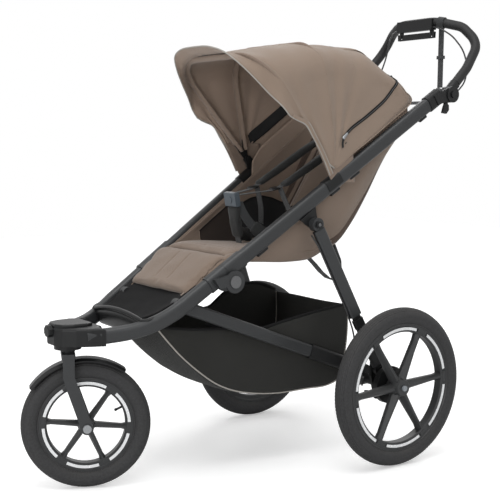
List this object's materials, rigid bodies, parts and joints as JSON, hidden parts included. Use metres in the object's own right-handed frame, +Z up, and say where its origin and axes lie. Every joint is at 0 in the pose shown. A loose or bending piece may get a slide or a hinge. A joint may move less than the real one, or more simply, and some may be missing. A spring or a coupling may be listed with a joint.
{
  "type": "baby stroller",
  "caption": "Three-wheel jogging stroller with a folding frame, reclining padded seat, fan canopy, under-seat basket, hand brake and swivelling front wheel",
  "frame": {"origin": "on the floor, under the centre of the bounding box", "axes": "Z up, the stroller rolls forward along -Y, +X is the child's left"},
  "size_m": [0.668, 1.2736, 1.1592],
  "materials": {
    "frame_paint": "satin dark grey paint",
    "dark_steel": "plain steel",
    "black_plastic": "matt",
    "grey_plastic": "semi-gloss",
    "light_plastic": "semi-gloss",
    "tyre": "matt rubber",
    "grip_rubber": "matt foam rubber",
    "reflector": "bright reflective",
    "seat_fabric": "woven polyester, taupe",
    "dark_fabric": "woven polyester, near black",
    "webbing": "woven webbing",
    "cable_sheath": "gloss sheath"
  },
  "bodies": {
    "upper_frame": {"upper_tubes": "frame_paint", "upper_hinge_shells": "black_plastic", "leg_brackets": "frame_paint", "handle_sockets": "black_plastic", "canopy_mounts": "black_plastic", "canopy_rear_panel": "seat_fabric", "seat_shell": "seat_fabric", "recline_rod": "dark_steel", "harness_pads": "seat_fabric", "buckle": "black_plastic", "frame_straps": "webbing", "tube_clips": "black_plastic"},
    "front_frame": {"front_tubes": "frame_paint", "front_hinge_shells": "black_plastic", "fold_pins": "dark_steel", "front_head": "black_plastic", "leg_rest": "seat_fabric", "footrest_bar": "frame_paint"},
    "front_fork": {"fork": "frame_paint", "front_axle": "dark_steel", "front_fender": "black_plastic"},
    "front_wheel": {"front_tyre": "tyre", "front_rim": "grey_plastic", "front_reflectors": "reflector"},
    "swivel_lock": {"swivel_lock_knob": "black_plastic"},
    "lower_frame": {"lower_bars": "frame_paint", "rear_axle_tube": "frame_paint", "rear_axle_castings": "black_plastic", "basket": "dark_fabric"},
    "brake_arms": {"brake_arms": "dark_steel"},
    "parking_brake": {"parking_brake_bar": "frame_paint"},
    "rear_wheel_left": {"rear_tyre_left": "tyre", "rear_rim_left": "grey_plastic", "rear_reflectors_left": "reflector"},
    "rear_wheel_right": {"rear_tyre_right": "tyre", "rear_rim_right": "grey_plastic", "rear_reflectors_right": "reflector"},
    "hub_button_left": {"hub_button_left": "light_plastic"},
    "hub_button_right": {"hub_button_right": "light_plastic"},
    "rear_legs": {"rear_legs": "frame_paint", "leg_brake_cables": "cable_sheath"},
    "suspension_left": {"suspension_link_left": "black_plastic"},
    "suspension_right": {"suspension_link_right": "black_plastic"},
    "handlebar": {"handlebar_tube": "dark_steel", "handlebar_grip": "grip_rubber", "handle_hubs": "black_plastic", "brake_housing": "black_plastic", "handlebar_brake_cables": "cable_sheath", "wrist_strap": "webbing"},
    "trigger_left": {"handle_trigger_left": "black_plastic"},
    "trigger_right": {"handle_trigger_right": "black_plastic"},
    "brake_bail": {"brake_bail": "black_plastic"},
    "canopy_front": {"canopy_front_bow": "dark_steel", "canopy_visor": "seat_fabric", "canopy_front_panel": "seat_fabric"},
    "canopy_middle": {"canopy_middle_bow": "dark_steel"},
    "backrest": {"backrest_pad": "seat_fabric", "shoulder_pads": "seat_fabric", "harness_webbing": "webbing"},
    "buckle_button": {"buckle_button": "light_plastic"}
  },
  "joints": [
    {"name": "frame_fold", "type": "hinge", "parent": "upper_frame", "child": "front_frame", "pos_m": [0, -0.1771, 0.488], "axis": [1, 0, 0], "range_deg": [0, 105], "deforming": ["basket"]},
    {"name": "lower_frame_fold", "type": "hinge", "parent": "front_frame", "child": "lower_frame", "pos_m": [0, -0.3011, 0.436], "axis": [1, 0, 0], "range_deg": [-75, 0]},
    {"name": "rear_leg_fold", "type": "hinge", "parent": "upper_frame", "child": "rear_legs", "pos_m": [0, 0.0559, 0.615], "axis": [1, 0, 0], "range_deg": [0, 52]},
    {"name": "suspension_left_slide", "type": "slide", "parent": "rear_legs", "child": "suspension_left", "axis": [-0.1327, -0.4052, 0.9045], "range_m": [0, 0.008], "stiffness_N_per_m": 12000},
    {"name": "suspension_right_slide", "type": "slide", "parent": "rear_legs", "child": "suspension_right", "axis": [0.1327, -0.4052, 0.9045], "range_m": [0, 0.008], "stiffness_N_per_m": 12000},
    {"name": "front_swivel", "type": "hinge", "parent": "front_frame", "child": "front_fork", "pos_m": [0, -0.5311, 0.35], "axis": [0, 0, 1], "continuous": true},
    {"name": "front_wheel_spin", "type": "hinge", "parent": "front_fork", "child": "front_wheel", "pos_m": [0.01652, -0.49467, 0.154], "axis": [0.9107, -0.4131, 0], "continuous": true},
    {"name": "rear_wheel_spin_left", "type": "hinge", "parent": "lower_frame", "child": "rear_wheel_left", "pos_m": [0.307, 0.2389, 0.203], "axis": [1, 0, 0], "continuous": true},
    {"name": "rear_wheel_spin_right", "type": "hinge", "parent": "lower_frame", "child": "rear_wheel_right", "pos_m": [-0.307, 0.2389, 0.203], "axis": [1, 0, 0], "continuous": true},
    {"name": "swivel_lock_turn", "type": "hinge", "parent": "front_frame", "child": "swivel_lock", "pos_m": [0, -0.5751, 0.384], "axis": [0, -1, 0], "range_deg": [0, 90]},
    {"name": "handlebar_tilt", "type": "hinge", "parent": "upper_frame", "child": "handlebar", "pos_m": [0, 0.4889, 0.94], "axis": [1, 0, 0], "range_deg": [-15, 30]},
    {"name": "handle_trigger_left_slide", "type": "slide", "parent": "handlebar", "child": "trigger_left", "axis": [0, 0, 1], "range_m": [0, 0.003], "stiffness_N_per_m": 600},
    {"name": "handle_trigger_right_slide", "type": "slide", "parent": "handlebar", "child": "trigger_right", "axis": [0, 0, 1], "range_m": [0, 0.003], "stiffness_N_per_m": 600},
    {"name": "brake_bail_squeeze", "type": "hinge", "parent": "handlebar", "child": "brake_bail", "pos_m": [0, 0.5779, 1.115], "axis": [1, 0, 0], "range_deg": [0, 25], "stiffness_Nm_per_rad": 1.5},
    {"name": "brake_arm_pull", "type": "hinge", "parent": "lower_frame", "child": "brake_arms", "pos_m": [0, 0.2049, 0.176], "axis": [-1, 0, 0], "range_deg": [0, 12], "stiffness_Nm_per_rad": 1},
    {"name": "canopy_fold", "type": "hinge", "parent": "upper_frame", "child": "canopy_front", "pos_m": [0, 0.1209, 0.768], "axis": [-1, 0, 0], "range_deg": [0, 75], "deforming": ["canopy_front_panel", "canopy_rear_panel"]},
    {"name": "canopy_middle_fold", "type": "hinge", "parent": "upper_frame", "child": "canopy_middle", "pos_m": [0, 0.1209, 0.768], "axis": [-1, 0, 0], "range_deg": [0, 56]},
    {"name": "backrest_recline", "type": "hinge", "parent": "upper_frame", "child": "backrest", "pos_m": [0, 0.1769, 0.582], "axis": [-1, 0, 0], "range_deg": [0, 25]},
    {"name": "parking_brake_press", "type": "hinge", "parent": "lower_frame", "child": "parking_brake", "pos_m": [0, 0.2389, 0.203], "axis": [-1, 0, 0], "range_deg": [0, 20]},
    {"name": "hub_button_left_push", "type": "slide", "parent": "rear_wheel_left", "child": "hub_button_left", "axis": [-1, 0, 0], "range_m": [0, 0.003], "stiffness_N_per_m": 500},
    {"name": "hub_button_right_push", "type": "slide", "parent": "rear_wheel_right", "child": "hub_button_right", "axis": [1, 0, 0], "range_m": [0, 0.003], "stiffness_N_per_m": 500},
    {"name": "buckle_button_push", "type": "slide", "parent": "upper_frame", "child": "buckle_button", "axis": [0, 0.9826, 0.1859], "range_m": [0, 0.003], "stiffness_N_per_m": 400}
  ],
  "couplings": [
    {"joint": "lower_frame_fold", "follows": "frame_fold", "ratio": -0.684},
    {"joint": "rear_leg_fold", "follows": "frame_fold", "ratio": 0.48},
    {"joint": "canopy_middle_fold", "follows": "canopy_fold", "ratio": 0.72},
    {"joint": "brake_arm_pull", "follows": "brake_bail_squeeze", "ratio": 0.45}
  ]
}
